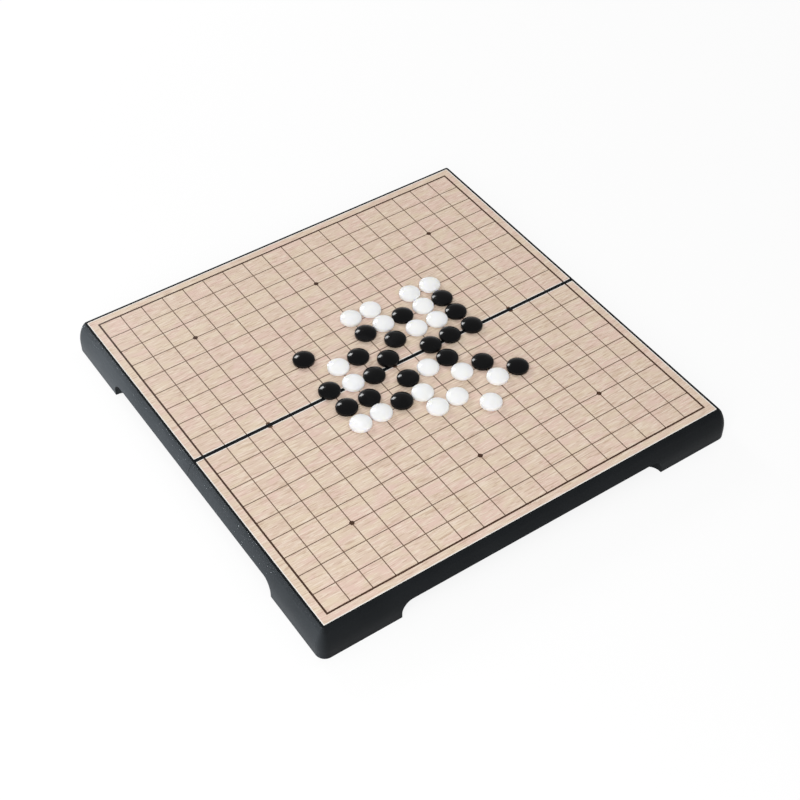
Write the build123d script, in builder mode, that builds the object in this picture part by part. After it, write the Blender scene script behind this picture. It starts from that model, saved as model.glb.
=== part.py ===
from build123d import *

import os
from math import atan2, degrees

# Magnetic folding go set, open for play.
# The board is two black moulded half cases joined by two double-pivot links, so that it folds in
# half with the playing surfaces outwards. Each half carries a steel sheet under a printed wooden
# grid, a stone tray with a sliding lid under its deck, and magnets in its feet that hold the
# folded box shut. The stones are domed caps, each with a disc magnet in its flat underside.
#
# Frame: millimetres, origin on the table under the middle of the board. X runs along the seam,
# +Y towards the back half, +Z up. The front half is the back half mirrored across the seam.

# Grid
line_count = 19
column_pitch = 14.5
first_row_from_seam = 15.44
line_width = 0.65
border_width = 1.2
star_radius = 1.5
star_step = 6
ink_thickness = 0.05

# Case outline
case_height = 21.4
print_margin = 5.5
rim_width = 1.3
shoulder_width = 2.0
shoulder_height = 3.0
wall_bulge = 2.8
straight_height = 6.0
rim_corner_radius = 1.2
foot_edge_radius = 0.4
wall = 2.4
deck = 2.0
seam_gap = 0.2
seam_rim = 1.0
seam_wall = 2.0

# Raised lower edge between the corner feet, and the finger recess under it
edge_height = 11.2
foot_inner_end = 91.0
foot_curve_radius = 7.2
recess_depth = 9.0
recess_corner_radius = 8.0
skirt = 1.8

# Steel sheet and printed sheet, let into the top
steel_thickness = 0.5
sheet_thickness = 0.4
sheet_corner_radius = 0.4
sheet_clearance = 0.1

# Folding hinge
pin_height = 5.0
folded_gap = 0.5
hinge_place = 110.0
link_width = 8.0
link_radius = 3.5
link_clearance = 0.2
link_chamfer = 0.4
ear_thickness = 3.0
pin_radius = 1.25
pin_head_radius = 2.1
pin_head_thickness = 0.8
running_clearance = 0.05
seat_clearance = 0.02

# Feet and the magnets that hold the folded box shut
foot_block = 12.0
closing_magnet_radius = 4.0
closing_magnet_thickness = 3.0

# Stiffening ribs under the deck, beside the tray
rib_thickness = 1.5
rib_depth = 4.0
rib_count = 3
rib_spacing = 36.0
rib_gap_to_ears = 2.0

# Stone tray
tray_width = 168.0
tray_length = 115.0
tray_to_skirt = 0.3
tray_wall = 2.6
tray_floor = 1.5
tray_to_table = 1.2
tray_inner_radius = 3.0

# Sliding lid
lip_thickness = 0.9
lid_thickness = 1.6
lid_play = 0.1
groove_depth = 1.5
lid_side_play = 0.25
lid_slot_play = 0.5
pull_rib_count = 3
pull_rib_length = 60.0
pull_rib_width = 1.2
pull_rib_height = 0.5
pull_rib_pitch = 3.0
pull_rib_from_end = 5.0

# Tray screws and what they go into
screw_radius = 1.3
screw_length = 8.0
screw_head_radius = 2.7
screw_head_height = 1.6
screw_slot_width = 0.7
screw_slot_depth = 0.8
screw_spacing = 66.0
pilot_spare_depth = 0.5
boss_radius = 3.2
boss_gap_to_tray = 1.0
boss_bottom = 8.0
ear_plate_thickness = 2.0
ear_plate_radius = 4.2
ear_hole_radius = 1.5

# Stones
stone_diameter = 13.6
stone_height = 4.3
stone_rim_height = 2.2
stone_base_inset = 0.5
stone_base_height = 0.45
stone_edge_radius = 1.2
stone_magnet_radius = 3.0
stone_magnet_thickness = 1.5

# Where the stones lie: column from the left, row from the back, and how far each stands off its
# crossing to the right and to the back, in millimetres
black_stones = [
    (13, 7, -0.6, 1.0), (13, 8, -0.6, 0.6), (11, 7, -1.0, 1.8), (9, 7, 0.4, 1.4),
    (6, 7, 0.6, 3.4), (10, 8, -2.0, 1.4), (8, 8, 0.0, 1.3), (9, 9, -0.4, 5.5),
    (13, 9, 0.4, 0.8), (12, 9, -1.2, 1.3), (11, 9, -1.4, 0.8), (8, 9, -0.6, -1.6),
    (6, 9, -0.5, 2.7), (11, 10, 0.6, 1.7), (9, 10, 0.2, 0.6), (7, 10, 1.3, 0.1),
    (6, 10, 0.7, 1.2), (12, 11, 1.5, 1.3), (8, 11, 1.2, 1.8), (13, 12, 2.1, 0.7),
]
white_stones = [
    (13, 6, 0.0, 1.0), (12, 6, -0.5, 1.4), (10, 6, -0.1, 2.9), (9, 6, 0.1, 3.2),
    (12, 7, -0.1, 1.7), (10, 7, -0.3, 2.5), (12, 8, 0.1, 1.4), (11, 8, -0.1, 2.2),
    (7, 8, -0.1, 0.8), (7, 9, 0.1, 0.2), (10, 10, 0.7, 1.3), (9, 11, 0.6, 0.5),
    (11, 11, 1.0, 1.5), (7, 11, 0.5, 0.7), (6, 11, 0.4, 0.3), (9, 12, 1.3, 0.5),
    (10, 12, 1.2, 0.9), (12, 12, 1.6, 0.7), (11, 13, 0.4, 0.5),
]

# Worked out from the sizes above
middle_line = line_count // 2
grid_reach = column_pitch * middle_line
row_pitch = (grid_reach - first_row_from_seam) / (middle_line - 1)
print_half = grid_reach + print_margin
rim_half = print_half + rim_width
shoulder_half = rim_half + shoulder_width
case_half = shoulder_half + wall_bulge
corner_axis = rim_half - rim_corner_radius
seam_face = seam_gap / 2
seam_inside = seam_face + seam_wall
past_case = 10.0

sheet_bottom = case_height - sheet_thickness
steel_bottom = sheet_bottom - steel_thickness
deck_underside = steel_bottom - deck
panel_near = seam_face + seam_rim

hollow_half = case_half - wall
hollow_draft = degrees(atan2(wall_bulge, deck_underside))
hollow_radius = hollow_half - corner_axis

pin_from_seam = pin_height + folded_gap / 2
ear_offset = (link_width + ear_thickness) / 2 + link_clearance
hinge_half_width = ear_offset + ear_thickness / 2

foot_block_centre = hollow_half - foot_block / 2
recess_back = case_half - recess_depth
recess_length = recess_depth + past_case

tray_far = recess_back - skirt - tray_to_skirt
tray_from_seam = tray_far - tray_length
tray_middle = tray_far - tray_length / 2
well_half = tray_width / 2 - tray_wall
groove_half = well_half + groove_depth
groove_bottom = tray_to_table + lip_thickness
groove_top = groove_bottom + lid_thickness + 2 * lid_play
lid_half = groove_half - lid_side_play
lid_bottom = groove_bottom + lid_play
lid_near = tray_from_seam + tray_wall - groove_depth + lid_side_play

ear_plate_bottom = boss_bottom - ear_plate_thickness
screw_x = tray_width / 2 + boss_radius + boss_gap_to_tray
screw_places = [
    (side * screw_x, tray_middle + end * screw_spacing / 2)
    for side in (-1, 1)
    for end in (-1, 1)
]
rib_start = screw_x + ear_plate_radius + rib_gap_to_ears

os.makedirs("parts", exist_ok=True)


def save(builder, name):
    """Label a finished piece and write it."""
    builder.part.label = name
    export_step(builder.part, f"parts/{name}.step")


def save_front(builder, name):
    """Write the front half's copy of a piece of the back half."""
    with BuildPart() as front:
        mirror(builder.part, about=Plane.XZ)
    save(front, name)


def wall_section(inner, centre):
    """Section of the case from inner to its outside face, measured outwards from centre."""
    rim = rim_half - centre
    shoulder = shoulder_half - centre
    foot = case_half - centre
    with BuildSketch() as section:
        with BuildLine():
            Line((inner, 0), (foot - foot_edge_radius, 0))
            foot_edge = TangentArc(
                (foot - foot_edge_radius, 0), (foot, foot_edge_radius), tangent=(1, 0)
            )
            upright = Line(foot_edge @ 1, (foot, straight_height))
            flank = TangentArc(
                upright @ 1, (shoulder, case_height - shoulder_height), tangent=(0, 1)
            )
            shoulder_arc = TangentArc(flank @ 1, (rim, case_height), tangent=flank % 1)
            top = Line(shoulder_arc @ 1, (inner, case_height))
            Line(top @ 1, (inner, 0))
        make_face()
    return section.sketch


def window_outline():
    """Opening under the raised lower edge, with the curved inner ends of the feet."""
    opening = Rectangle(2 * foot_inner_end, 2 * edge_height)
    fillet(opening.vertices(), radius=foot_curve_radius)


def recess_plan(grow):
    """Finger recess of the end wall seen from above, grown by grow, with round inner corners."""
    with BuildSketch() as plan:
        with Locations((0, recess_back + (recess_length - grow) / 2)):
            Rectangle(2 * (foot_inner_end + grow), recess_length + grow)
        fillet(plan.vertices().group_by(Axis.Y)[0], radius=recess_corner_radius + grow)
    return plan.sketch


def panel_outline(gap, mode=Mode.ADD):
    """Outline of a panel let into the top of the back half, drawn in from the rim by gap."""
    near = panel_near + gap
    far = print_half - gap
    with BuildSketch(mode=Mode.PRIVATE) as panel:
        with Locations((0, (near + far) / 2)):
            Rectangle(2 * far, far - near)
        fillet(panel.vertices().group_by(Axis.Y)[-1], radius=sheet_corner_radius)
    add(panel.sketch, mode=mode)


def grid_outline():
    """Printed lines of the back half: columns, rows, border and star points."""
    reach = grid_reach + border_width / 2
    for column in range(-middle_line, middle_line + 1):
        width = border_width if abs(column) == middle_line else line_width
        with Locations((column * column_pitch, reach / 2)):
            Rectangle(width, reach)
    for row in range(middle_line):
        width = border_width if row == middle_line - 1 else line_width
        with Locations((0, first_row_from_seam + row * row_pitch)):
            Rectangle(2 * reach, width)
    star_columns = [step * star_step * column_pitch for step in (-1, 0, 1)]
    star_row = first_row_from_seam + (star_step - 1) * row_pitch
    with Locations(*[(x, y) for x in star_columns for y in (panel_near, star_row)]):
        Circle(star_radius)
    panel_outline(sheet_clearance, mode=Mode.INTERSECT)


# Outside of the back half: side walls, end wall and rounded corners
with BuildPart() as outside:
    with BuildSketch(Plane.back.offset(seam_face)):
        add(wall_section(0, 0))
        mirror(about=Plane.YZ)
    extrude(amount=corner_axis - seam_face)
    with BuildSketch(Plane.YZ):
        add(wall_section(seam_face, 0))
    extrude(amount=corner_axis, both=True)
    for side in (-1, 1):
        post_axis = (side * corner_axis, corner_axis, 0)
        with BuildSketch(Plane(post_axis, x_dir=(1, 0, 0), z_dir=(0, -1, 0))):
            add(wall_section(0, corner_axis))
        revolve(axis=Axis(post_axis, (0, 0, 1)))

# Finger recess under the raised lower edge of the end wall
with BuildPart() as finger_recess:
    with BuildSketch(Plane.back.offset(recess_back)):
        window_outline()
    extrude(amount=recess_length)
    with BuildSketch():
        add(recess_plan(0))
    extrude(amount=edge_height, mode=Mode.INTERSECT)

# Hollow under the deck, with foot blocks, skirts, screw bosses and ribs left standing in it
with BuildPart() as hollow:
    with BuildSketch():
        RectangleRounded(2 * hollow_half, 2 * hollow_half, hollow_radius)
    extrude(amount=deck_underside, taper=hollow_draft)
    split(bisect_by=Plane.back.offset(seam_inside), keep=Keep.TOP)
    with BuildSketch():
        with Locations(*[(side * foot_block_centre, foot_block_centre) for side in (-1, 1)]):
            Rectangle(foot_block, foot_block)
    extrude(amount=deck_underside, mode=Mode.SUBTRACT)
    # the skirt behind each finger recess: end wall, right wall and left wall
    for turn in (0, -90, 90):
        with BuildSketch(Plane.XY.rotated((0, 0, turn))):
            add(recess_plan(skirt))
            add(recess_plan(0), mode=Mode.SUBTRACT)
        extrude(amount=deck_underside, mode=Mode.SUBTRACT)
    with BuildSketch(Plane.XY.offset(boss_bottom)):
        with Locations(*screw_places):
            Circle(boss_radius)
    extrude(amount=deck_underside - boss_bottom, mode=Mode.SUBTRACT)
    rib_length = hollow_half - rib_start
    with BuildSketch(Plane.XY.offset(deck_underside - rib_depth)):
        for side in (-1, 1):
            with Locations((side * (rib_start + rib_length / 2), tray_middle)):
                with GridLocations(0, rib_spacing, 1, rib_count):
                    Rectangle(rib_length, rib_thickness)
    extrude(amount=rib_depth, mode=Mode.SUBTRACT)

# Back casing
with BuildPart() as back_shell:
    add(outside.part)
    add(hollow.part, mode=Mode.SUBTRACT)
    # the recess that the steel and the print lie in
    with BuildSketch(Plane.XY.offset(steel_bottom)):
        panel_outline(0)
    extrude(amount=case_height - steel_bottom, mode=Mode.SUBTRACT)
    # the finger recesses: end wall, right wall and left wall
    for turn in (0, -90, 90):
        add(finger_recess.part, rotation=(0, 0, turn), mode=Mode.SUBTRACT)
    # room beside the seam for the other half as the box folds
    with BuildSketch():
        with Locations((0, pin_from_seam / 2)):
            Rectangle(2 * hollow_half, pin_from_seam)
    extrude(amount=edge_height, mode=Mode.SUBTRACT)
    # slot in the end skirt that the lid slides out through
    with BuildSketch():
        with Locations((0, recess_back - skirt / 2)):
            Rectangle(2 * (groove_half + lid_slot_play), 2 * skirt)
    extrude(amount=groove_top + lid_slot_play, mode=Mode.SUBTRACT)
    # hinge ears, hanging from the deck beside the seam wall
    for side in (-1, 1):
        for offset_x in (-ear_offset, ear_offset):
            with BuildSketch(Plane.YZ.offset(side * hinge_place + offset_x)):
                with Locations((pin_from_seam, pin_height)):
                    Circle(link_radius)
                with Locations((pin_from_seam, (pin_height + deck_underside) / 2)):
                    Rectangle(2 * link_radius, deck_underside - pin_height)
                with Locations((pin_from_seam, pin_height)):
                    Circle(pin_radius + seat_clearance, mode=Mode.SUBTRACT)
            extrude(amount=ear_thickness / 2, both=True)
    # magnet pockets in the feet
    with BuildSketch():
        with Locations(*[(side * foot_block_centre, foot_block_centre) for side in (-1, 1)]):
            Circle(closing_magnet_radius + seat_clearance)
    extrude(amount=closing_magnet_thickness, mode=Mode.SUBTRACT)
    # pilot holes for the tray screws
    with BuildSketch(Plane.XY.offset(boss_bottom)):
        with Locations(*screw_places):
            Circle(screw_radius + seat_clearance)
    extrude(amount=screw_length - ear_plate_thickness + pilot_spare_depth, mode=Mode.SUBTRACT)
save(back_shell, "back_shell")
save_front(back_shell, "front_shell")

# Steel sheet that the stones hold on to
with BuildPart() as back_steel_sheet:
    with BuildSketch(Plane.XY.offset(steel_bottom)):
        panel_outline(sheet_clearance)
    extrude(amount=steel_thickness)
save(back_steel_sheet, "back_steel_sheet")
save_front(back_steel_sheet, "front_steel_sheet")

# Printed sheet, with the lines let into it by their own thickness
with BuildPart() as back_grid_sheet:
    with BuildSketch(Plane.XY.offset(sheet_bottom)):
        panel_outline(sheet_clearance)
    extrude(amount=sheet_thickness)
    with BuildSketch(Plane.XY.offset(case_height - ink_thickness)):
        grid_outline()
    extrude(amount=ink_thickness, mode=Mode.SUBTRACT)
save(back_grid_sheet, "back_grid_sheet")
save_front(back_grid_sheet, "front_grid_sheet")

# Printed lines
with BuildPart() as back_grid_lines:
    with BuildSketch(Plane.XY.offset(case_height - ink_thickness)):
        grid_outline()
    extrude(amount=ink_thickness)
save(back_grid_lines, "back_grid_lines")
save_front(back_grid_lines, "front_grid_lines")

# Stone tray: open downwards, closed by its lid, held by four ears
with BuildPart() as back_stone_tray:
    with BuildSketch(Plane.XY.offset(tray_to_table)):
        with Locations((0, tray_middle)):
            Rectangle(tray_width, tray_length)
    extrude(amount=deck_underside - tray_to_table)
    with BuildSketch(Plane.XY.offset(tray_to_table)):
        with Locations((0, tray_middle)):
            RectangleRounded(2 * well_half, tray_length - 2 * tray_wall, tray_inner_radius)
    extrude(amount=deck_underside - tray_floor - tray_to_table, mode=Mode.SUBTRACT)
    # grooves for the lid, open at the far end
    groove_near = tray_from_seam + tray_wall - groove_depth
    with BuildSketch(Plane.XY.offset(groove_bottom)):
        with Locations((0, (groove_near + tray_far) / 2)):
            Rectangle(2 * groove_half, tray_far - groove_near)
    extrude(amount=groove_top - groove_bottom, mode=Mode.SUBTRACT)
    with BuildSketch(Plane.XY.offset(tray_to_table)):
        with Locations((0, tray_far - tray_wall)):
            Rectangle(2 * well_half, 2 * tray_wall)
    extrude(amount=groove_top - tray_to_table, mode=Mode.SUBTRACT)
    # screw ears
    with BuildSketch(Plane.XY.offset(ear_plate_bottom)):
        for x, y in screw_places:
            bridge = abs(x) - tray_width / 2
            with Locations((x, y)):
                Circle(ear_plate_radius)
            with Locations((x - x / abs(x) * bridge / 2, y)):
                Rectangle(bridge, 2 * ear_plate_radius)
        with Locations(*screw_places):
            Circle(ear_hole_radius, mode=Mode.SUBTRACT)
    extrude(amount=ear_plate_thickness)
save(back_stone_tray, "back_stone_tray")
save_front(back_stone_tray, "front_stone_tray")

# Sliding lid, with ribs to push it by
with BuildPart() as back_tray_lid:
    with BuildSketch(Plane.XY.offset(lid_bottom)):
        with Locations((0, (lid_near + tray_far) / 2)):
            Rectangle(2 * lid_half, tray_far - lid_near)
    extrude(amount=lid_thickness)
    with BuildSketch(Plane.XY.offset(lid_bottom - pull_rib_height)):
        rib_y = tray_far - pull_rib_from_end - (pull_rib_count - 1) * pull_rib_pitch / 2
        with Locations((0, rib_y)):
            with GridLocations(0, pull_rib_pitch, 1, pull_rib_count):
                SlotOverall(pull_rib_length, pull_rib_width)
    extrude(amount=pull_rib_height)
save(back_tray_lid, "back_tray_lid")
save_front(back_tray_lid, "front_tray_lid")

# Tray screws, one group of four
with BuildPart() as back_tray_screws:
    with BuildSketch(Plane.XY.offset(ear_plate_bottom)):
        with Locations(*screw_places):
            Circle(screw_radius)
    extrude(amount=screw_length)
    with BuildSketch(Plane.XY.offset(ear_plate_bottom - screw_head_height)):
        with Locations(*screw_places):
            Circle(screw_head_radius)
    extrude(amount=screw_head_height)
    head_faces = back_tray_screws.faces().group_by(Axis.Z)[0]
    fillet(head_faces.edges(), radius=screw_head_height / 2)
    with BuildSketch(Plane.XY.offset(ear_plate_bottom - screw_head_height)):
        with Locations(*screw_places):
            Rectangle(2 * screw_radius, screw_slot_width)
            Rectangle(screw_slot_width, 2 * screw_radius)
    extrude(amount=screw_slot_depth, mode=Mode.SUBTRACT)
save(back_tray_screws, "back_tray_screws")
save_front(back_tray_screws, "front_tray_screws")

# Magnets that hold the folded box shut
with BuildPart() as back_closing_magnets:
    with BuildSketch():
        with Locations(*[(side * foot_block_centre, foot_block_centre) for side in (-1, 1)]):
            Circle(closing_magnet_radius)
    extrude(amount=closing_magnet_thickness)
save(back_closing_magnets, "back_closing_magnets")
save_front(back_closing_magnets, "front_closing_magnets")

# Hinge pins, pressed through the ears, each with its head towards the middle of the board
with BuildPart() as back_hinge_pins:
    for side in (-1, 1):
        inner_plane = Plane(
            (side * (hinge_place - hinge_half_width), pin_from_seam, pin_height),
            x_dir=(0, 1, 0),
            z_dir=(side, 0, 0),
        )
        with BuildSketch(inner_plane):
            Circle(pin_radius)
        extrude(amount=2 * hinge_half_width)
        with BuildSketch(inner_plane):
            Circle(pin_head_radius)
        extrude(amount=-pin_head_thickness)
save(back_hinge_pins, "back_hinge_pins")
save_front(back_hinge_pins, "front_hinge_pins")

# Hinge links, turning on one pin of each half
for side, name in ((-1, "left_hinge_link"), (1, "right_hinge_link")):
    with BuildPart() as hinge_link:
        link_plane = Plane((side * hinge_place, 0, pin_height), x_dir=(0, 1, 0), z_dir=(1, 0, 0))
        with BuildSketch(link_plane):
            SlotCenterToCenter(2 * pin_from_seam, 2 * link_radius)
        extrude(amount=link_width / 2, both=True)
        link_sides = hinge_link.faces().filter_by(Axis.X)
        chamfer(link_sides.edges(), length=link_chamfer)
        with BuildSketch(link_plane):
            with Locations((-pin_from_seam, 0), (pin_from_seam, 0)):
                Circle(pin_radius + running_clearance)
        extrude(amount=link_width / 2, both=True, mode=Mode.SUBTRACT)
    save(hinge_link, name)


def row_place(row):
    """Y of a row of crossings, counted from the back; the middle one lies on the seam."""
    steps = middle_line - row
    if steps == 0:
        return 0.0
    way = 1 if steps > 0 else -1
    return way * (first_row_from_seam + (abs(steps) - 1) * row_pitch)


def save_stone(name, x, y):
    """Domed stone lying on the print at x, y: plastic cap, and a disc magnet under it."""
    radius = stone_diameter / 2
    middle = Axis((x, y, 0), (0, 0, 1))
    upright = Plane((x, y, case_height), x_dir=(1, 0, 0), z_dir=(0, -1, 0))
    with BuildPart() as cap:
        with BuildSketch(upright) as section:
            with BuildLine():
                Line((0, 0), (radius - stone_base_inset, 0))
                base = Line((radius - stone_base_inset, 0), (radius, stone_base_height))
                rim = Line(base @ 1, (radius, stone_rim_height))
                dome = RadiusArc((0, stone_height), rim @ 1, dome_radius(radius))
                Line(dome @ 0, (0, 0))
            make_face()
            rim_corner = section.vertices().group_by(Axis.X)[-1].sort_by(Axis.Y)[-1]
            fillet(rim_corner, radius=stone_edge_radius)
        revolve(axis=middle)
        with BuildSketch(Plane((x, y, case_height))):
            Circle(stone_magnet_radius + seat_clearance)
        extrude(amount=stone_magnet_thickness + seat_clearance, mode=Mode.SUBTRACT)
    with BuildPart() as magnet:
        with BuildSketch(Plane((x, y, case_height))):
            Circle(stone_magnet_radius)
        extrude(amount=stone_magnet_thickness)
    with BuildPart() as stone:
        add(cap.part)
        add(magnet.part)
    save(stone, name)


def dome_radius(radius):
    """Radius of the ball that the dome of a stone is cut from."""
    rise = stone_height - stone_rim_height
    return (radius**2 + rise**2) / (2 * rise)


for colour, places in (("black", black_stones), ("white", white_stones)):
    for number, (column, row, off_x, off_y) in enumerate(places, start=1):
        stone_x = (column - middle_line) * column_pitch + off_x
        save_stone(f"{colour}_stone_{number:02d}", stone_x, row_place(row) + off_y)
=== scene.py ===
"""Finishes, studio stage and camera for a magnetic folding go set.

The packed model is the fixed frame. Each operator finishes one group of its pieces, or builds the stage.
"""

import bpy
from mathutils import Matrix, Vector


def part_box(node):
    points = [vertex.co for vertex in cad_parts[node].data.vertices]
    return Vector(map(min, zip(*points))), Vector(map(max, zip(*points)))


bl_info = {
    "name": "Magnetic Folding Go Set",
    "version": (1, 0, 0),
    "blender": (4, 5, 0),
    "location": "View3D > Sidebar > Go Set",
    "description": "Finishes and a studio stage for a magnetic folding go set",
    "category": "Object",
}

from math import radians

import bpy
from bpy.props import FloatProperty, FloatVectorProperty, PointerProperty
from bpy.types import Operator, Panel, PropertyGroup
from mathutils import Matrix, Vector

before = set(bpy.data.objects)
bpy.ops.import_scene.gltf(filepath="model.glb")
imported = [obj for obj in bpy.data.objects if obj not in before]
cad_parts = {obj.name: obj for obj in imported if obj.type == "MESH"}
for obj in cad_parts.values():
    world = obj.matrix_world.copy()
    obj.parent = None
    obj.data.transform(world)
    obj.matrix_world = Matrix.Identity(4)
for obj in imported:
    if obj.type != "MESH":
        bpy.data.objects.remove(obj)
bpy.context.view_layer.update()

MM = 0.001
HALVES = ("back", "front")
SHEET_LOW, SHEET_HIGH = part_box("back_grid_sheet")

# Tones of the dust that settles on each finish
DUST_ON_BLACK = (0.30, 0.29, 0.27)
DUST_ON_PRINT = (0.80, 0.78, 0.74)
DUST_ON_STONES = (0.42, 0.41, 0.40)


# Settings that a user would change

def colour_setting(name, description, default):
    """A colour in linear light."""
    return FloatVectorProperty(
        name=name, description=description, default=default, subtype="COLOR", size=3, min=0.0, max=1.0
    )


def length_setting(name, description, default):
    """A length in metres."""
    return FloatProperty(
        name=name, description=description, default=default, min=0.0, unit="LENGTH", precision=5
    )


def share_setting(name, description, default):
    """A share from none to all."""
    return FloatProperty(
        name=name, description=description, default=default, min=0.0, max=1.0, subtype="FACTOR"
    )


def angle_setting(name, description, degrees):
    """An angle, given in degrees and kept in radians."""
    return FloatProperty(name=name, description=description, default=radians(degrees), subtype="ANGLE")


def place_setting(name, description, default):
    """A point in metres."""
    return FloatVectorProperty(
        name=name, description=description, default=default, subtype="TRANSLATION", unit="LENGTH"
    )


def size_setting(name, description, default):
    """The width and height of a lamp in metres."""
    return FloatVectorProperty(
        name=name, description=description, default=default, size=2, min=0.0, unit="LENGTH", precision=4
    )


def power_setting(name, description, default):
    """The power of a lamp in watts."""
    return FloatProperty(name=name, description=description, default=default, min=0.0, unit="POWER")


class CaseSettings(PropertyGroup):
    """Moulded casing of the two halves."""

    colour: colour_setting("Colour", "Black of the moulded casing", (0.0085, 0.0098, 0.0110))
    worn_colour: colour_setting("Worn colour", "Paler plastic on rubbed edges", (0.026, 0.029, 0.032))
    roughness: share_setting("Roughness", "How satin the faces are", 0.45)
    shine: share_setting("Shine", "How much the faces mirror", 0.045)
    grain_size: length_setting("Grain size", "Size of the eroded mould grain", 0.30 * MM)
    grain_depth: length_setting("Grain depth", "Depth of the eroded mould grain", 0.010 * MM)
    edge_radius: length_setting("Edge radius", "Softening of the moulded edges", 0.25 * MM)


class PrintSettings(PropertyGroup):
    """Wood-grain sheets and the ink on them."""

    wood: colour_setting("Wood", "Main tone of the printed wood", (0.700, 0.548, 0.440))
    pale_wood: colour_setting("Pale wood", "Yellowish tone that comes and goes", (0.722, 0.590, 0.450))
    blush: colour_setting("Blush", "Pinkish tone that comes and goes", (0.730, 0.535, 0.460))
    streak: colour_setting("Streak", "Tone of the darker grain dashes", (0.520, 0.370, 0.270))
    gleam: colour_setting("Gleam", "Tone of the paler grain dashes", (0.810, 0.690, 0.570))
    # White film at the sheet's cut edge, painted wide enough to also serve as a painted highlight along
    # the edges
    cut_edge_and_painted_highlight: colour_setting("Cut edge", "White film that shows at the cut edge", (0.860, 0.830, 0.780))
    cut_edge_and_painted_highlight_width: length_setting("Cut edge width", "How far the white film shows", 0.70 * MM)
    streak_length: length_setting("Streak length", "Length of a grain dash", 9.0 * MM)
    streak_width: length_setting("Streak width", "Width of a grain dash", 0.75 * MM)
    ink: colour_setting("Ink", "Brown of the printed border", (0.055, 0.024, 0.012))
    line_ink: colour_setting("Line ink", "Brown of the thin lines inside it", (0.165, 0.107, 0.073))
    border_inset: length_setting("Border inset", "From the sheet's edge to inside the border", 6.3 * MM)
    star_spacing: length_setting("Star spacing", "From one star point to the next", 87.0 * MM)
    star_reach: length_setting("Star reach", "How far the dark ink of a star point reaches", 1.9 * MM)
    thin_ink: colour_setting("Thin ink", "Brown where the ink is thin", (0.210, 0.125, 0.080))
    roughness: share_setting("Roughness", "How satin the laminated film is", 0.46)
    shine: share_setting("Shine", "How much the film mirrors", 0.35)
    ink_shine: share_setting("Ink shine", "How much the ink mirrors", 0.30)


class TraySettings(PropertyGroup):
    """Stone trays, their sliding lids and the hinge links."""

    tray: colour_setting("Tray", "Black of the stone trays", (0.022, 0.023, 0.025))
    lid: colour_setting("Lid", "Charcoal of the sliding lids", (0.046, 0.048, 0.052))
    link: colour_setting("Link", "Black of the hinge links", (0.016, 0.016, 0.018))
    worn_colour: colour_setting("Worn colour", "Paler plastic on rubbed edges", (0.085, 0.088, 0.094))
    grain_size: length_setting("Grain size", "Size of the eroded mould grain", 0.45 * MM)
    grain_depth: length_setting("Grain depth", "Depth of the eroded mould grain", 0.014 * MM)
    edge_radius: length_setting("Edge radius", "Softening of the moulded edges", 0.20 * MM)
    shine: share_setting("Shine", "How much the faces mirror", 0.35)


class HardwareSettings(PropertyGroup):
    """Steel sheets, screws, hinge pins and closing magnets."""

    sheet: colour_setting("Sheet", "Zinc plated sheet", (0.560, 0.565, 0.570))
    fastener: colour_setting("Fastener", "Bright zinc of screws and pins", (0.540, 0.530, 0.505))
    magnet: colour_setting("Magnet", "Nickel plating of the magnets", (0.600, 0.590, 0.560))
    tarnish: colour_setting("Tarnish", "Dull tone in the hollows of the plating", (0.300, 0.285, 0.255))
    brush_length: length_setting("Brush length", "Length of the brushed marks", 9.0 * MM)
    brush_width: length_setting("Brush width", "Width of the brushed marks", 0.08 * MM)
    edge_radius: length_setting("Edge radius", "Softening of the plated edges", 0.12 * MM)


class StoneSettings(PropertyGroup):
    """Domed stones."""

    black: colour_setting("Black", "Polished black plastic", (0.0030, 0.0030, 0.0033))
    black_smear: colour_setting("Black smear", "Black dulled by fingers", (0.0080, 0.0080, 0.0085))
    white: colour_setting("White", "Polished white plastic", (0.920, 0.930, 0.930))
    white_smear: colour_setting("White smear", "White dulled by fingers", (0.870, 0.875, 0.868))
    magnet: colour_setting("Magnet", "Nickel plating under each stone", (0.450, 0.445, 0.430))
    magnet_share: share_setting("Magnet share", "Magnet's diameter as a share of the stone's", 0.60)
    glow: share_setting("Glow", "How much light spreads inside the white plastic", 0.80)
    glow_depth: length_setting("Glow depth", "How far light spreads inside the white", 1.5 * MM)
    black_shine: share_setting("Black shine", "How much the black domes mirror", 0.25)
    white_shine: share_setting("White shine", "How much the white domes mirror", 0.50)
    roughness: share_setting("Roughness", "Polish of the domes", 0.13)
    ripple_size: length_setting("Ripple size", "Size of the faint moulding ripple", 3.0 * MM)
    ripple_depth: length_setting("Ripple depth", "Depth of the faint moulding ripple", 0.012 * MM)


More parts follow.
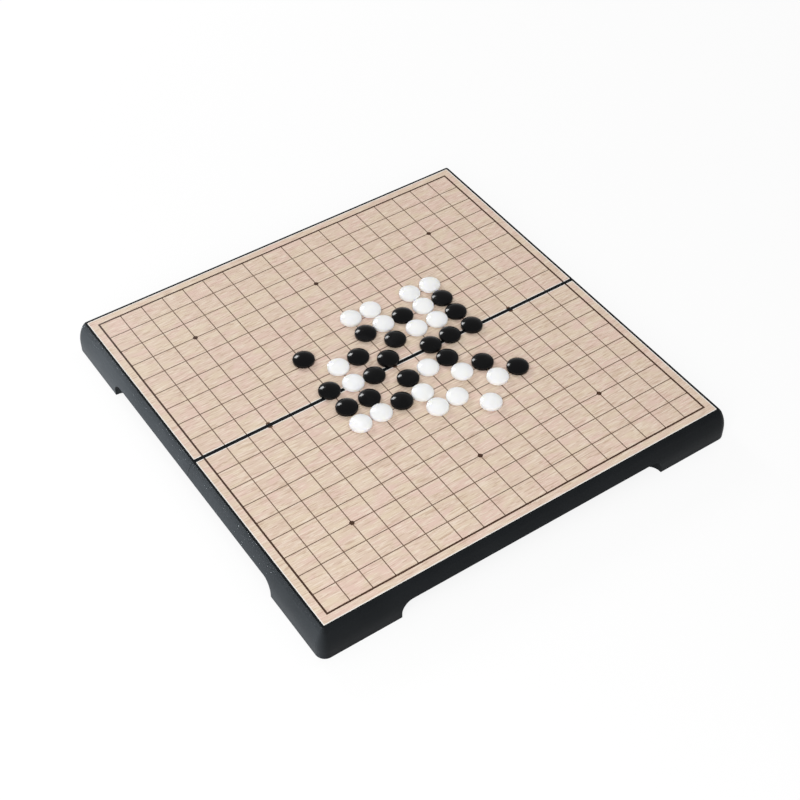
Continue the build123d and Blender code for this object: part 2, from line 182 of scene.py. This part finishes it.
class StageSettings(PropertyGroup):
    """Floor, lamps and sky."""

    floor: colour_setting("Floor", "Colour of the floor", (0.90, 0.90, 0.90))
    floor_size: length_setting("Floor size", "Side of the square floor", 16.0)
    white_share: share_setting("White share", "Part of the floor that stays white in shadow", 0.86)
    sky_zenith: share_setting("Sky overhead", "Brightness of the sky overhead", 0.28)
    sky_horizon: share_setting("Sky horizon", "Brightness of the sky at the horizon", 0.60)
    haze_low: share_setting("Haze from", "Height where the sky starts to dim", 0.04)
    haze_high: share_setting("Haze to", "Height where the sky has dimmed", 0.30)
    key_place: place_setting("Key place", "Where the main lamp stands", (-0.49, -0.53, 0.63))
    key_power: power_setting("Key power", "Main lamp", 6.5)
    key_size: size_setting("Key size", "Main lamp", (0.70, 0.70))
    fill_place: place_setting("Fill place", "Where the shadow lamp stands", (0.90, 0.22, 1.02))
    fill_power: power_setting("Fill power", "Lamp that fills the shadows", 4.6)
    fill_size: size_setting("Fill size", "Lamp that fills the shadows", (1.00, 1.00))
    strip_place: place_setting("Strip place", "Where the strip lamp stands", (-0.06, 0.96, 0.54))
    strip_power: power_setting("Strip power", "Strip lamp behind the board", 4.2)
    strip_size: size_setting("Strip size", "Strip lamp behind the board", (0.26, 0.30))
    side_place: place_setting("Side place", "Where the low lamp stands", (-0.40, 0.12, 0.006))
    side_power: power_setting("Side power", "Low lamp beside the board", 8.0)
    side_size: size_setting("Side size", "Low lamp beside the board", (0.52, 0.008))


class CameraSettings(PropertyGroup):
    """The camera at the photograph's viewing angle."""

    aim: place_setting("Aim", "Point that the camera looks at", (-0.0132, -0.0259, 0.0214))
    distance: length_setting("Distance", "From the camera to the point it looks at", 0.8968)
    azimuth: angle_setting("Azimuth", "Turn about the vertical", -34.58)
    elevation: angle_setting("Elevation", "Height above the horizon", 46.6)
    roll: angle_setting("Roll", "Tilt of the picture", 0.31)
    focal_length: FloatProperty(
        name="Focal length", description="In millimetres, on a 36 mm sensor", default=68.75, min=1.0
    )


# Helpers for node trees

def feed(tree, socket, value):
    """Link a socket to another, or set its value."""
    if isinstance(value, bpy.types.NodeSocket):
        tree.links.new(value, socket)
    elif hasattr(value, "__len__") and len(value) == 3 and len(socket.default_value) == 4:
        socket.default_value = (*value, 1.0)
    else:
        socket.default_value = value


def node(tree, kind, inputs=None, **settings):
    """A new node with its settings, and inputs given by name or number."""
    made = tree.nodes.new("ShaderNode" + kind)
    for name, value in settings.items():
        setattr(made, name, value)
    for key, value in (inputs or {}).items():
        feed(tree, made.inputs[key], value)
    return made


def calculate(tree, operation, *values):
    """One Math node."""
    return node(tree, "Math", dict(enumerate(values)), operation=operation).outputs[0]


def product(tree, first, second):
    """Two values multiplied."""
    return calculate(tree, "MULTIPLY", first, second)


def blend(tree, factor, first, second):
    """One colour Mix node."""
    return node(tree, "Mix", {0: factor, 6: first, 7: second}, data_type="RGBA").outputs[2]


def rise(tree, value, low, high):
    """A smooth step from 0 at low to 1 at high."""
    inputs = {"Value": value, "From Min": low, "From Max": high}
    return node(tree, "MapRange", inputs, interpolation_type="SMOOTHSTEP").outputs[0]


def span(tree, value, low, high):
    """A value from 0 to 1, spread between two others."""
    return node(tree, "MapRange", {"Value": value, "To Min": low, "To Max": high}).outputs[0]


def noise(tree, vector, detail=2.0, roughness=0.5, distortion=0.0, scale=1.0):
    """A Noise Texture's value."""
    inputs = {
        "Vector": vector, "Scale": scale, "Detail": detail,
        "Roughness": roughness, "Distortion": distortion,
    }
    return node(tree, "TexNoise", inputs).outputs["Fac"]


def cells(tree, vector, length, width):
    """The vector, divided so that one unit is one grain of that length along X and that width."""
    sizes = {"Vector": vector, "Scale": (1 / length, 1 / width, 1 / width)}
    return node(tree, "Mapping", sizes).outputs[0]


def object_point(tree):
    """Each point in the piece's own frame, in metres."""
    return node(tree, "TexCoord").outputs["Object"]


def arrange(tree):
    """Set the nodes in columns, by how far each is from the end of the tree."""
    depth = {made: 0 for made in tree.nodes}
    for _ in tree.nodes:
        for link in tree.links:
            depth[link.from_node] = max(depth[link.from_node], depth[link.to_node] + 1)
    rows = {}
    for made, column in depth.items():
        row = rows[column] = rows.get(column, -1) + 1
        made.location = (-240 * column, -220 * row)


def new_group(name, inputs, outputs, build):
    """A shader node group. build takes the tree and its inputs, and gives the outputs by name."""
    tree = bpy.data.node_groups.new(name, "ShaderNodeTree")
    for label, default in inputs.items():
        kind = "NodeSocketVector" if default is None else "NodeSocketFloat"
        socket = tree.interface.new_socket(label, in_out="INPUT", socket_type=kind)
        if default is not None:
            socket.default_value = default
    for label in outputs:
        kind = "NodeSocketVector" if label == "Normal" else "NodeSocketFloat"
        tree.interface.new_socket(label, in_out="OUTPUT", socket_type=kind)
    source = tree.nodes.new("NodeGroupInput")
    sink = tree.nodes.new("NodeGroupOutput")
    for label, value in build(tree, source.outputs).items():
        tree.links.new(value, sink.inputs[label])
    arrange(tree)
    return tree


def use_group(tree, name, **values):
    """Place a node group, with its values given by socket name in lower case."""
    made = node(tree, "Group", node_tree=bpy.data.node_groups[name])
    for socket in made.inputs:
        key = socket.name.lower().replace(" ", "_")
        if key in values:
            feed(tree, socket, values[key])
    return made.outputs


def new_material(name):
    """A material with one Principled shader."""
    material = bpy.data.materials.new(name)
    material.use_nodes = True
    tree = material.node_tree
    tree.nodes.clear()
    shader = tree.nodes.new("ShaderNodeBsdfPrincipled")
    output = tree.nodes.new("ShaderNodeOutputMaterial")
    tree.links.new(shader.outputs[0], output.inputs["Surface"])
    return material, tree, shader


def finish_surface(tree, shader, colour, roughness, normal, **constants):
    """Feed the shader's colour, roughness and normal, and set the values that are the same all over."""
    feed(tree, shader.inputs["Base Color"], colour)
    feed(tree, shader.inputs["Roughness"], roughness)
    feed(tree, shader.inputs["Normal"], normal)
    for key, value in constants.items():
        shader.inputs[key.replace("_", " ")].default_value = value
    arrange(tree)


def bump(tree, height, distance, normal=None):
    """A Bump node's normal. The height runs from 0 to 1, over that distance."""
    inputs = {"Height": height, "Distance": distance, "Strength": 1.0}
    if normal is not None:
        inputs["Normal"] = normal
    return node(tree, "Bump", inputs).outputs[0]


# Effects that several materials share

def moulded_texture(tree, given):
    """Fine eroded grain of a mould, over the slow waves of a moulded wall."""
    per_grain = calculate(tree, "DIVIDE", 1.0, given["Grain Size"])
    grain = noise(tree, given["Vector"], detail=3.0, roughness=0.6, scale=per_grain)
    waves = noise(tree, given["Vector"], detail=1.0, scale=38.0)
    height = calculate(tree, "MULTIPLY_ADD", waves, 2.5, grain)
    sheen = calculate(tree, "ADD", product(tree, grain, 0.6), product(tree, waves, 0.4))
    return {"Height": height, "Sheen": rise(tree, sheen, 0.3, 0.7)}


def softened_edge(tree, given):
    """The normal of a slightly rounded edge, and where such an edge is rubbed."""
    round_normal = node(tree, "Bevel", {"Radius": given["Radius"]}, samples=4).outputs[0]
    flat_normal = node(tree, "NewGeometry").outputs["Normal"]
    normals = {0: round_normal, 1: flat_normal}
    along = node(tree, "VectorMath", normals, operation="DOT_PRODUCT").outputs["Value"]
    edge = rise(tree, calculate(tree, "SUBTRACT", 1.0, along), 0.02, 0.16)
    patches = rise(tree, noise(tree, given["Vector"], detail=4.0, roughness=0.65, scale=160.0), 0.46, 0.66)
    wear = product(tree, product(tree, edge, patches), given["Amount"])
    return {"Normal": round_normal, "Wear": wear}


def handling_marks(tree, given):
    """Broad smears from fingers, with fine scratches in two directions."""
    marks = rise(tree, noise(tree, given["Vector"], detail=3.0, distortion=0.8, scale=55.0), 0.48, 0.72)
    for turn in (0.6, -0.9):
        inputs = {"Vector": given["Vector"], "Angle": turn}
        turned = node(tree, "VectorRotate", inputs, rotation_type="Z_AXIS")
        lines = noise(tree, cells(tree, turned.outputs[0], 18 * MM, 0.12 * MM), detail=1.0)
        scratches = rise(tree, lines, 0.74, 0.80)
        marks = calculate(tree, "MAXIMUM", marks, product(tree, scratches, 0.7))
    return {"Marks": product(tree, marks, given["Amount"])}


def fine_dust(tree, given):
    """Sparse specks that settle where a face looks up."""
    facing = node(tree, "SeparateXYZ", {0: node(tree, "TexCoord").outputs["Normal"]}).outputs["Z"]
    specks = rise(tree, noise(tree, given["Vector"], detail=2.0, roughness=0.7, scale=2100.0), 0.70, 0.78)
    drifts = rise(tree, noise(tree, given["Vector"], detail=2.0, scale=70.0), 0.40, 0.65)
    settled = product(tree, rise(tree, facing, 0.2, 0.9), product(tree, specks, drifts))
    return {"Dust": product(tree, settled, given["Amount"])}


def build_shared_effects():
    """Build each shared node group once."""
    if "Moulded Texture" in bpy.data.node_groups:
        return
    grain = {"Vector": None, "Grain Size": 0.3 * MM}
    edge = {"Vector": None, "Radius": 0.25 * MM, "Amount": 0.5}
    amount = {"Vector": None, "Amount": 0.5}
    new_group("Moulded Texture", grain, ("Height", "Sheen"), moulded_texture)
    new_group("Softened Edge", edge, ("Normal", "Wear"), softened_edge)
    new_group("Handling Marks", amount, ("Marks",), handling_marks)
    new_group("Fine Dust", amount, ("Dust",), fine_dust)


# Materials

def moulded_plastic(name, colour, roughness, settings):
    """Black moulded plastic, with mould grain, handling marks, rubbed edges and a little dust."""
    material, tree, shader = new_material(name)
    point = object_point(tree)
    texture = use_group(tree, "Moulded Texture", vector=point, grain_size=settings.grain_size)
    edge = use_group(tree, "Softened Edge", vector=point, radius=settings.edge_radius, amount=0.55)
    marks = use_group(tree, "Handling Marks", vector=point, amount=0.6)["Marks"]
    dust = use_group(tree, "Fine Dust", vector=point, amount=0.30)["Dust"]
    tone = blend(tree, product(tree, texture["Sheen"], 0.25), colour, settings.worn_colour)
    tone = blend(tree, edge["Wear"], tone, settings.worn_colour)
    tone = blend(tree, dust, tone, DUST_ON_BLACK)
    sheen = span(tree, texture["Sheen"], roughness - 0.05, roughness + 0.05)
    sheen = calculate(tree, "MULTIPLY_ADD", marks, -0.10, sheen)
    normal = bump(tree, texture["Height"], settings.grain_depth, edge["Normal"])
    finish_surface(tree, shader, tone, sheen, normal, Specular_IOR_Level=settings.shine)
    return material


def wood_print(settings):
    """Printed wood grain that runs along the seam, under a satin film with a white cut edge that also
    serves as a painted edge highlight.
    """
    material, tree, shader = new_material("Wood Print")
    point = object_point(tree)
    x, y = node(tree, "SeparateXYZ", {0: point}).outputs[:2]

    # Each half is cut from another place of the printed film
    is_back = calculate(tree, "GREATER_THAN", y, 0.0)
    shift = node(tree, "CombineXYZ", {"X": product(tree, is_back, 0.41), "Z": is_back}).outputs[0]
    place = node(tree, "VectorMath", {0: point, 1: shift}, operation="ADD").outputs[0]

    length = settings.streak_length
    width = settings.streak_width
    bands = noise(tree, cells(tree, place, 2.2 * length, 7 * width), detail=2.0, distortion=0.4)
    blushes = noise(tree, cells(tree, place, 1.8 * length, 12 * width), detail=2.0)
    streaks = noise(tree, cells(tree, place, length, width), detail=2.0, roughness=0.6, distortion=0.15)
    gleams = noise(tree, cells(tree, place, 0.8 * length, 0.9 * width), detail=1.0)
    fibres = noise(tree, cells(tree, place, 3 * length, 0.35 * width), detail=2.0)

    tone = blend(tree, rise(tree, bands, 0.42, 0.62), settings.wood, settings.pale_wood)
    layers = (
        (blushes, 0.46, 0.62, 0.75, settings.blush),
        (streaks, 0.52, 0.66, 0.75, settings.streak),
        (gleams, 0.53, 0.66, 0.80, settings.gleam),
        (fibres, 0.50, 0.72, 0.28, settings.streak),
    )
    for grain, low, high, strength, colour in layers:
        tone = blend(tree, product(tree, rise(tree, grain, low, high), strength), tone, colour)

    # The white film of the cut edge shows near the outline of each half's sheet, drawn wide enough to be a
    # painted edge highlight too
    across = calculate(tree, "SUBTRACT", SHEET_HIGH.x, calculate(tree, "ABSOLUTE", x))
    out = calculate(tree, "ABSOLUTE", y)
    inset = calculate(tree, "MINIMUM", across, calculate(tree, "SUBTRACT", SHEET_HIGH.y, out))
    inset = calculate(tree, "MINIMUM", inset, calculate(tree, "SUBTRACT", out, SHEET_LOW.y))
    printed = rise(tree, inset, 0.4 * settings.cut_edge_and_painted_highlight_width, settings.cut_edge_and_painted_highlight_width)
    tone = blend(tree, calculate(tree, "SUBTRACT", 1.0, printed), tone, settings.cut_edge_and_painted_highlight)

    marks = use_group(tree, "Handling Marks", vector=point, amount=0.5)["Marks"]
    dust = use_group(tree, "Fine Dust", vector=point, amount=0.15)["Dust"]
    tone = blend(tree, dust, tone, DUST_ON_PRINT)
    sheen = span(tree, streaks, settings.roughness - 0.06, settings.roughness + 0.06)
    sheen = calculate(tree, "MULTIPLY_ADD", marks, -0.08, sheen)
    peel = noise(tree, point, detail=2.0, scale=900.0)
    relief = calculate(tree, "MULTIPLY_ADD", fibres, 0.7, peel)
    normal = bump(tree, relief, 0.006 * MM)
    finish_surface(tree, shader, tone, sheen, normal, Specular_IOR_Level=settings.shine)
    return material


def from_star_line(tree, value, spacing):
    """How far a coordinate is from the nearest of its three lines of star points."""
    for _ in range(2):
        value = calculate(tree, "SUBTRACT", calculate(tree, "ABSOLUTE", value), spacing / 2)
    return value


def printing_ink(settings):
    """Brown screen ink, lighter inside the border and a little thin in places."""
    material, tree, shader = new_material("Grid Ink")
    point = object_point(tree)
    x, y = node(tree, "SeparateXYZ", {0: point}).outputs[:2]

    # The border and the star points keep the dark ink
    reach = calculate(tree, "MAXIMUM", calculate(tree, "ABSOLUTE", x), calculate(tree, "ABSOLUTE", y))
    inside = calculate(tree, "LESS_THAN", reach, SHEET_HIGH.x - settings.border_inset)
    to_column = from_star_line(tree, x, settings.star_spacing)
    to_row = from_star_line(tree, y, settings.star_spacing)
    offset = node(tree, "CombineXYZ", {"X": to_column, "Y": to_row}).outputs[0]
    from_star = node(tree, "VectorMath", {0: offset}, operation="LENGTH").outputs["Value"]
    is_star = calculate(tree, "LESS_THAN", from_star, settings.star_reach)
    ink = blend(tree, calculate(tree, "SUBTRACT", inside, is_star), settings.ink, settings.line_ink)

    thin = rise(tree, noise(tree, point, detail=3.0, roughness=0.7, scale=1300.0), 0.52, 0.74)
    worn = rise(tree, noise(tree, point, detail=2.0, scale=60.0), 0.40, 0.70)
    tone = blend(tree, product(tree, thin, span(tree, worn, 0.25, 0.7)), ink, settings.thin_ink)
    marks = use_group(tree, "Handling Marks", vector=point, amount=0.4)["Marks"]
    sheen = span(tree, marks, 0.50, 0.38)
    relief = noise(tree, point, detail=2.0, scale=1500.0)
    normal = bump(tree, relief, 0.008 * MM)
    finish_surface(tree, shader, tone, sheen, normal, Specular_IOR_Level=settings.ink_shine)
    return material


def plated_metal(name, colour, settings, roughness):
    """Plated steel with brushed marks, handling marks and a dull tone in places."""
    material, tree, shader = new_material(name)
    point = object_point(tree)
    brushed = noise(tree, cells(tree, point, settings.brush_length, settings.brush_width), detail=2.0)
    dull = rise(tree, noise(tree, point, detail=4.0, roughness=0.6, scale=420.0), 0.50, 0.78)
    edge = use_group(tree, "Softened Edge", vector=point, radius=settings.edge_radius, amount=0.3)
    marks = use_group(tree, "Handling Marks", vector=point, amount=0.5)["Marks"]
    tone = blend(tree, product(tree, dull, 0.55), colour, settings.tarnish)
    sheen = span(tree, brushed, roughness - 0.07, roughness + 0.10)
    sheen = calculate(tree, "MULTIPLY_ADD", marks, 0.08, sheen)
    normal = bump(tree, brushed, 0.004 * MM, edge["Normal"])
    finish_surface(tree, shader, tone, sheen, normal, Metallic=1.0)
    return material


def polished_stone(name, colour, smear, shine, glow, settings):
    """A polished dome dulled a little by fingers, with a plated magnet in its underside."""
    material, tree, shader = new_material(name)
    coordinates = node(tree, "TexCoord").outputs
    point = coordinates["Object"]
    marks = use_group(tree, "Handling Marks", vector=point, amount=0.8)["Marks"]
    dust = use_group(tree, "Fine Dust", vector=point, amount=0.22)["Dust"]
    tone = blend(tree, marks, colour, smear)
    tone = blend(tree, dust, tone, DUST_ON_STONES)

    # The magnet is the middle of the face that looks down
    centred = {"Vector": coordinates["Generated"], "Location": (-1.0, -1.0, 0.0), "Scale": (2.0, 2.0, 0.0)}
    middle = node(tree, "Mapping", centred).outputs[0]
    reach = node(tree, "VectorMath", {0: middle}, operation="LENGTH").outputs["Value"]
    down = node(tree, "SeparateXYZ", {0: coordinates["Normal"]}).outputs["Z"]
    in_disc = calculate(tree, "LESS_THAN", reach, settings.magnet_share)
    magnet = product(tree, in_disc, calculate(tree, "LESS_THAN", down, -0.5))
    tone = blend(tree, magnet, tone, settings.magnet)

    sheen = span(tree, marks, settings.roughness, settings.roughness + 0.13)
    sheen = calculate(tree, "MAXIMUM", sheen, product(tree, magnet, 0.3))
    ripple = noise(tree, point, detail=1.0, scale=1 / settings.ripple_size)
    normal = bump(tree, ripple, settings.ripple_depth)
    finish_surface(
        tree, shader, tone, sheen, normal, Specular_IOR_Level=shine,
        Subsurface_Weight=glow, Subsurface_Radius=(1.0, 1.0, 0.9), Subsurface_Scale=settings.glow_depth,
    )
    feed(tree, shader.inputs["Metallic"], magnet)
    return material


def dress(names, material):
    """Give each named CAD piece the material in its own slots."""
    for name in names:
        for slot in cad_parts[name].material_slots:
            slot.material = material


# Operators

class FinishCase(Operator):
    """Give both halves of the case their moulded black finish"""

    bl_idname = "go_set.finish_case"
    bl_label = "Finish Case"

    def execute(self, context):
        case = context.scene.go_case
        build_shared_effects()
        plastic = moulded_plastic("Case Plastic", case.colour, case.roughness, case)
        dress([f"{half}_shell" for half in HALVES], plastic)
        return {"FINISHED"}


class FinishPrint(Operator):
    """Give the sheets their printed wood grain and the lines their ink"""

    bl_idname = "go_set.finish_print"
    bl_label = "Finish Print"

    def execute(self, context):
        settings = context.scene.go_print
        build_shared_effects()
        dress([f"{half}_grid_sheet" for half in HALVES], wood_print(settings))
        dress([f"{half}_grid_lines" for half in HALVES], printing_ink(settings))
        return {"FINISHED"}


class FinishTrays(Operator):
    """Give the stone trays, their lids and the hinge links their moulded finish"""

    bl_idname = "go_set.finish_trays"
    bl_label = "Finish Trays and Links"

    def execute(self, context):
        trays = context.scene.go_trays
        build_shared_effects()
        finishes = (
            ("Tray Plastic", trays.tray, 0.52, [f"{half}_stone_tray" for half in HALVES]),
            ("Lid Plastic", trays.lid, 0.50, [f"{half}_tray_lid" for half in HALVES]),
            ("Link Plastic", trays.link, 0.38, ["left_hinge_link", "right_hinge_link"]),
        )
        for name, colour, roughness, pieces in finishes:
            dress(pieces, moulded_plastic(name, colour, roughness, trays))
        return {"FINISHED"}


class FinishHardware(Operator):
    """Give the steel sheets, screws, hinge pins and closing magnets their plating"""

    bl_idname = "go_set.finish_hardware"
    bl_label = "Finish Hardware"

    def execute(self, context):
        settings = context.scene.go_hardware
        build_shared_effects()
        finishes = (
            ("Fastener Steel", settings.fastener, 0.30, ("tray_screws", "hinge_pins")),
            ("Sheet Steel", settings.sheet, 0.36, ("steel_sheet",)),
            ("Magnet Plating", settings.magnet, 0.22, ("closing_magnets",)),
        )
        for name, colour, roughness, pieces in finishes:
            metal = plated_metal(name, colour, settings, roughness)
            dress([f"{half}_{piece}" for half in HALVES for piece in pieces], metal)
        return {"FINISHED"}


class FinishStones(Operator):
    """Give the black and white stones their polish"""

    bl_idname = "go_set.finish_stones"
    bl_label = "Finish Stones"

    def execute(self, context):
        stones = context.scene.go_stones
        build_shared_effects()
        finishes = (
            ("black", stones.black, stones.black_smear, stones.black_shine, 0.0),
            ("white", stones.white, stones.white_smear, stones.white_shine, stones.glow),
        )
        for shade, colour, smear, shine, glow in finishes:
            names = [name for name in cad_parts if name.startswith(f"{shade}_stone_")]
            dress(names, polished_stone(f"{shade.title()} Stone", colour, smear, shine, glow, stones))
        return {"FINISHED"}


def floor_material(stage):
    """A pale floor that keeps the shadow and stays near white to the camera and in reflections."""
    material, tree, shader = new_material("Studio Floor")
    shader.inputs["Base Color"].default_value = (*stage.floor, 1.0)
    shader.inputs["Roughness"].default_value = 1.0
    shader.inputs["Specular IOR Level"].default_value = 0.0
    path = node(tree, "LightPath").outputs
    seen = calculate(tree, "MAXIMUM", path["Is Camera Ray"], path["Is Glossy Ray"])
    seen = calculate(tree, "MAXIMUM", seen, path["Is Transmission Ray"])
    white = node(tree, "Emission", {"Color": (1.0, 1.0, 1.0), "Strength": 1.0}).outputs[0]
    share = product(tree, seen, stage.white_share)
    mixed = node(tree, "MixShader", {0: share, 1: shader.outputs[0], 2: white}).outputs[0]
    output = next(made for made in tree.nodes if made.bl_idname == "ShaderNodeOutputMaterial")
    tree.links.new(mixed, output.inputs["Surface"])
    arrange(tree)
    return material


def build_floor(stage):
    """A large square floor under the feet."""
    reach = stage.floor_size / 2
    mesh = bpy.data.meshes.new("Studio Floor")
    corners = [(x * reach, y * reach, 0.0) for x, y in ((-1, -1), (1, -1), (1, 1), (-1, 1))]
    mesh.from_pydata(corners, [], [(0, 1, 2, 3)])
    floor = bpy.data.objects.new("studio_floor", mesh)
    floor.data.materials.append(floor_material(stage))
    bpy.context.scene.collection.objects.link(floor)


def build_sky(stage):
    """A sky that is white at the horizon and dim overhead."""
    world = bpy.data.worlds.new("Studio Sky")
    bpy.context.scene.world = world
    world.use_nodes = True
    tree = world.node_tree
    tree.nodes.clear()
    direction = node(tree, "TexCoord").outputs["Generated"]
    height = node(tree, "SeparateXYZ", {0: direction}).outputs["Z"]
    dimmed = rise(tree, height, stage.haze_low, stage.haze_high)
    level = span(tree, dimmed, stage.sky_horizon, stage.sky_zenith)
    background = node(tree, "Background", {"Color": (1.0, 1.0, 1.0), "Strength": level}).outputs[0]
    output = tree.nodes.new("ShaderNodeOutputWorld")
    tree.links.new(background, output.inputs["Surface"])
    arrange(tree)


def build_lamp(name, place, power, size, reflected):
    """A soft box that faces the middle of the board. reflected tells if polished faces show it."""
    data = bpy.data.lights.new(name, "AREA")
    data.shape = "RECTANGLE"
    data.size, data.size_y = size
    data.energy = power
    lamp = bpy.data.objects.new(name, data)
    lamp.rotation_mode = "QUATERNION"
    lamp.rotation_quaternion = (-Vector(place)).to_track_quat("-Z", "Y")
    lamp.location = place
    lamp.visible_glossy = reflected
    bpy.context.scene.collection.objects.link(lamp)


def build_camera(view):
    """The camera at the photograph's viewing angle."""
    data = bpy.data.cameras.new("Camera")
    data.lens = view.focal_length
    data.sensor_width = 36.0
    camera = bpy.data.objects.new("Camera", data)
    turn = Matrix.Rotation(view.azimuth, 4, "Z")
    tilt = Matrix.Rotation(radians(90) - view.elevation, 4, "X")
    roll = Matrix.Rotation(view.roll, 4, "Z")
    facing = turn @ tilt @ roll
    back = facing @ Vector((0.0, 0.0, 1.0))
    camera.matrix_world = Matrix.Translation(Vector(view.aim) + view.distance * back) @ facing
    bpy.context.scene.collection.objects.link(camera)
    bpy.context.scene.camera = camera


class BuildStage(Operator):
    """Build the floor, sky, lamps and camera"""

    bl_idname = "go_set.build_stage"
    bl_label = "Build Stage"

    def execute(self, context):
        stage = context.scene.go_stage
        context.scene.view_settings.view_transform = "Standard"
        build_floor(stage)
        build_sky(stage)
        build_lamp("Key Lamp", stage.key_place, stage.key_power, stage.key_size, reflected=False)
        build_lamp("Fill Lamp", stage.fill_place, stage.fill_power, stage.fill_size, reflected=False)
        build_lamp("Strip Lamp", stage.strip_place, stage.strip_power, stage.strip_size, reflected=True)
        build_lamp("Side Lamp", stage.side_place, stage.side_power, stage.side_size, reflected=False)
        build_camera(context.scene.go_camera)
        return {"FINISHED"}


OPERATORS = (FinishCase, FinishPrint, FinishTrays, FinishHardware, FinishStones, BuildStage)
SETTINGS = {
    "go_case": CaseSettings,
    "go_print": PrintSettings,
    "go_trays": TraySettings,
    "go_hardware": HardwareSettings,
    "go_stones": StoneSettings,
    "go_stage": StageSettings,
    "go_camera": CameraSettings,
}


class GoSetPanel(Panel):
    """Sidebar panel that lists the operators and their settings"""

    bl_idname = "VIEW3D_PT_go_set"
    bl_label = "Go Set"
    bl_space_type = "VIEW_3D"
    bl_region_type = "UI"
    bl_category = "Go Set"

    def draw(self, context):
        column = self.layout.column(align=True)
        for operator in OPERATORS:
            column.operator(operator.bl_idname)
        for name, settings in SETTINGS.items():
            box = self.layout.box()
            box.label(text=settings.__doc__)
            for label in settings.__annotations__:
                box.prop(getattr(context.scene, name), label)


def register():
    """Register the classes and hang the settings on the scene."""
    for name, settings in SETTINGS.items():
        bpy.utils.register_class(settings)
        setattr(bpy.types.Scene, name, PointerProperty(type=settings))
    for operator in OPERATORS:
        bpy.utils.register_class(operator)
    bpy.utils.register_class(GoSetPanel)


def unregister():
    """Take everything out again."""
    bpy.utils.unregister_class(GoSetPanel)
    for operator in reversed(OPERATORS):
        bpy.utils.unregister_class(operator)
    for name, settings in reversed(SETTINGS.items()):
        delattr(bpy.types.Scene, name)
        bpy.utils.unregister_class(settings)


def main():
    """Finish every piece and build the stage."""
    register()
    for operator in OPERATORS:
        getattr(bpy.ops.go_set, operator.bl_idname.split(".")[1])()


if __name__ == "__main__":
    main()
